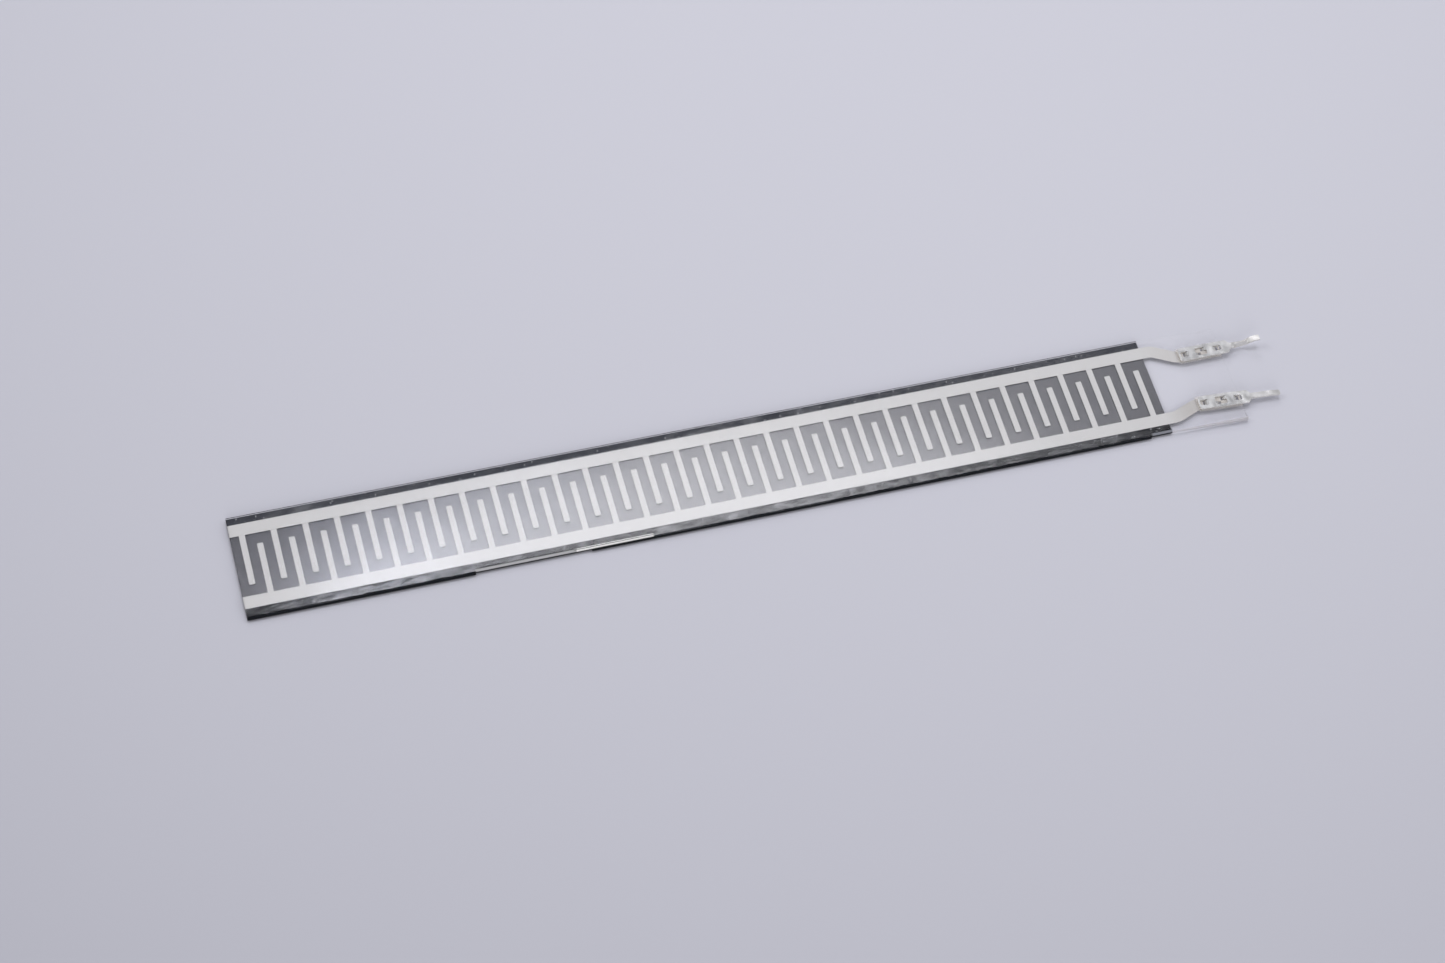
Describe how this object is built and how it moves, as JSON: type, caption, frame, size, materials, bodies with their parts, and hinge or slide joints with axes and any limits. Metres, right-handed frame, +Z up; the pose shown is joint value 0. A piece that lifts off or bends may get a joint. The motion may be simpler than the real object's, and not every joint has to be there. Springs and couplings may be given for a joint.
{
  "type": "force sensing resistor",
  "caption": "Thin laminated force sensing resistor strip with interleaved silver fingers over a black carbon layer, a clear tail and two crimped solder tabs.",
  "frame": {"origin": "under the middle of the whole part's bounding box, at the height of its lowest point", "axes": "+X along the strip towards the solder tabs, +Y to the far long edge, +Z up from the rear face to the printed film"},
  "size_m": [0.113, 0.0124, 0.0014],
  "materials": {
    "clear_film": "clear polyester film",
    "silver_ink": "matt printed silver ink",
    "spacer_adhesive": "pressure sensitive adhesive",
    "carbon_ink": "matt printed carbon ink",
    "rear_adhesive": "pressure sensitive adhesive",
    "tinned_bronze": "tin plated phosphor bronze"
  },
  "bodies": {
    "root": {"conductive_film": "clear_film", "far_electrode": "silver_ink", "near_electrode": "silver_ink", "spacer_adhesive": "spacer_adhesive", "carbon_layer": "carbon_ink", "base_film": "clear_film", "rear_adhesive": "rear_adhesive", "far_contact": "tinned_bronze", "near_contact": "tinned_bronze"}
  },
  "joints": []
}
